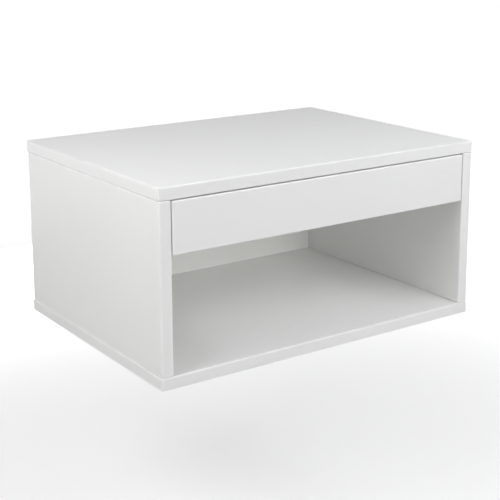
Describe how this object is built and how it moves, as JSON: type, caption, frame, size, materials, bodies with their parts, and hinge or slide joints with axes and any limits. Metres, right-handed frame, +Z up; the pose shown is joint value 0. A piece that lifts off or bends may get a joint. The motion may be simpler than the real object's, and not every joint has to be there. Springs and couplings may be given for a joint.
{
  "type": "floating nightstand",
  "caption": "Wall-hung nightstand: a white box with a handleless inset drawer on roller runners above an open cubby, hung on keyhole plates behind its back board.",
  "frame": {"origin": "on the wall plane, midway between the upper ends of the hanger plates' keyhole slots, which are where the wall screws carry the piece", "axes": "+X to the user's right, -Y towards the user, +Y into the wall, +Z up"},
  "size_m": [0.5, 0.365, 0.248],
  "materials": {
    "white_lacquer": "white satin lacquer on fibreboard, eased edges",
    "white_foil": "white foil on fibreboard",
    "beech": "fluted beech, unfinished",
    "cast_zinc": "die-cast zinc, dull",
    "plated_steel": "zinc-plated steel",
    "white_enamel": "white epoxy powder coat",
    "white_nylon": "moulded white nylon"
  },
  "bodies": {
    "carcass": {"top_panel": "white_lacquer", "bottom_panel": "white_lacquer", "left_side_panel": "white_lacquer", "right_side_panel": "white_lacquer", "back_panel": "white_lacquer", "left_front_cam_lock": "cast_zinc", "left_rear_cam_lock": "cast_zinc", "right_front_cam_lock": "cast_zinc", "right_rear_cam_lock": "cast_zinc", "left_front_cam_bolt": "plated_steel", "left_rear_cam_bolt": "plated_steel", "right_front_cam_bolt": "plated_steel", "right_rear_cam_bolt": "plated_steel", "left_side_dowel": "beech", "right_side_dowel": "beech", "left_back_dowel": "beech", "right_back_dowel": "beech", "left_front_confirmat": "plated_steel", "left_rear_confirmat": "plated_steel", "left_back_confirmat": "plated_steel", "right_front_confirmat": "plated_steel", "right_rear_confirmat": "plated_steel", "right_back_confirmat": "plated_steel", "left_cabinet_runner": "white_enamel", "right_cabinet_runner": "white_enamel", "left_front_roller_axle": "plated_steel", "right_front_roller_axle": "plated_steel", "left_cabinet_runner_front_screw": "plated_steel", "left_cabinet_runner_rear_screw": "plated_steel", "right_cabinet_runner_front_screw": "plated_steel", "right_cabinet_runner_rear_screw": "plated_steel", "left_hanger_plate": "plated_steel", "right_hanger_plate": "plated_steel", "left_hanger_upper_screw": "plated_steel", "left_hanger_lower_screw": "plated_steel", "right_hanger_upper_screw": "plated_steel", "right_hanger_lower_screw": "plated_steel"},
    "drawer": {"drawer_front": "white_lacquer", "drawer_left_side": "white_foil", "drawer_right_side": "white_foil", "drawer_back": "white_foil", "drawer_bottom": "white_foil", "drawer_left_cam_lock": "cast_zinc", "drawer_right_cam_lock": "cast_zinc", "drawer_left_cam_bolt": "plated_steel", "drawer_right_cam_bolt": "plated_steel", "drawer_left_back_screw": "plated_steel", "drawer_right_back_screw": "plated_steel", "left_drawer_runner": "white_enamel", "right_drawer_runner": "white_enamel", "left_rear_roller_axle": "plated_steel", "right_rear_roller_axle": "plated_steel", "left_drawer_runner_front_screw": "plated_steel", "left_drawer_runner_rear_screw": "plated_steel", "right_drawer_runner_front_screw": "plated_steel", "right_drawer_runner_rear_screw": "plated_steel"},
    "left_front_roller": {"left_front_roller": "white_nylon"},
    "right_front_roller": {"right_front_roller": "white_nylon"},
    "left_rear_roller": {"left_rear_roller": "white_nylon"},
    "right_rear_roller": {"right_rear_roller": "white_nylon"}
  },
  "joints": [
    {"name": "drawer_slide", "type": "slide", "parent": "carcass", "child": "drawer", "axis": [0, -1, 0], "range_m": [0, 0.22485]},
    {"name": "left_front_roller_spin", "type": "hinge", "parent": "carcass", "child": "left_front_roller", "pos_m": [-0.22725, -0.332, -0.009], "axis": [1, 0, 0], "range_deg": [0, 1290]},
    {"name": "right_front_roller_spin", "type": "hinge", "parent": "carcass", "child": "right_front_roller", "pos_m": [0.22725, -0.332, -0.009], "axis": [1, 0, 0], "range_deg": [0, 1290]},
    {"name": "left_rear_roller_spin", "type": "hinge", "parent": "drawer", "child": "left_rear_roller", "pos_m": [-0.22725, -0.0574, -0.011], "axis": [1, 0, 0], "range_deg": [0, 1358]},
    {"name": "right_rear_roller_spin", "type": "hinge", "parent": "drawer", "child": "right_rear_roller", "pos_m": [0.22725, -0.0574, -0.011], "axis": [1, 0, 0], "range_deg": [0, 1358]}
  ],
  "couplings": [
    {"joint": "left_front_roller_spin", "follows": "drawer_slide", "rad_per_m": 100},
    {"joint": "right_front_roller_spin", "follows": "drawer_slide", "rad_per_m": 100},
    {"joint": "left_rear_roller_spin", "follows": "drawer_slide", "rad_per_m": 105.26},
    {"joint": "right_rear_roller_spin", "follows": "drawer_slide", "rad_per_m": 105.26}
  ]
}
